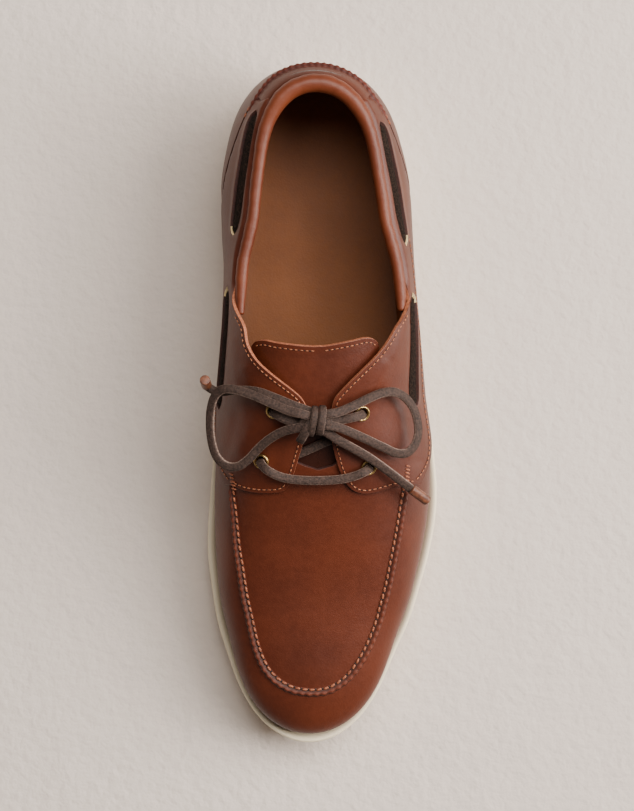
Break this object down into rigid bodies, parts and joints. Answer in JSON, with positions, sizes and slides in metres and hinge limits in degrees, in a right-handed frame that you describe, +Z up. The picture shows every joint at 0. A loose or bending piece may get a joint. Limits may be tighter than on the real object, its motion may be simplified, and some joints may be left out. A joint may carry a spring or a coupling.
{
  "type": "boat shoe",
  "caption": "Left boat shoe with a moccasin apron, cupped rubber sole, rolled collar, side lace slots, brass eyelets and a leather lace tied in a bow.",
  "frame": {"origin": "middle of the shoe's own box on the floor it stands on, without the free lace", "axes": "+Z up, toe towards -Y, +X towards the outer (lateral) side of the foot"},
  "size_m": [0.1033, 0.2904, 0.0914],
  "materials": {
    "rubber_sole": "matte off-white rubber",
    "vamp_leather": "smooth tan leather, soft sheen",
    "quarter_leather": "smooth tan leather, soft sheen",
    "collar_leather": "soft padded tan leather",
    "tongue_leather": "smooth tan leather",
    "insole_leather": "matte brown lining leather",
    "thong_suede": "dark brown suede",
    "lace_leather": "grey-brown oiled leather",
    "tip_leather": "wrapped tan leather",
    "brass": "aged brass"
  },
  "bodies": {
    "root": {"outsole": "rubber_sole", "upper": "vamp_leather", "insole": "insole_leather", "tongue": "tongue_leather", "quarter_medial": "quarter_leather", "quarter_lateral": "quarter_leather", "heel_counter": "quarter_leather", "back_strap": "quarter_leather", "collar_roll": "collar_leather", "side_lace_rear_medial": "thong_suede", "eyelet_rear_medial": "brass", "side_lace_rear_lateral": "thong_suede", "eyelet_rear_lateral": "brass", "side_lace_front_medial": "thong_suede", "eyelet_front_medial": "brass", "side_lace_front_lateral": "thong_suede", "eyelet_front_lateral": "brass", "lace_bar_front": "lace_leather", "lace_bar_rear_medial": "lace_leather", "lace_bar_rear_lateral": "lace_leather", "lace_knot": "lace_leather", "lace_loop_medial": "lace_leather", "lace_loop_lateral": "lace_leather", "lace_end_medial": "lace_leather", "lace_end_lateral": "lace_leather", "lace_tip_medial": "tip_leather", "lace_tip_lateral": "tip_leather"}
  },
  "joints": []
}
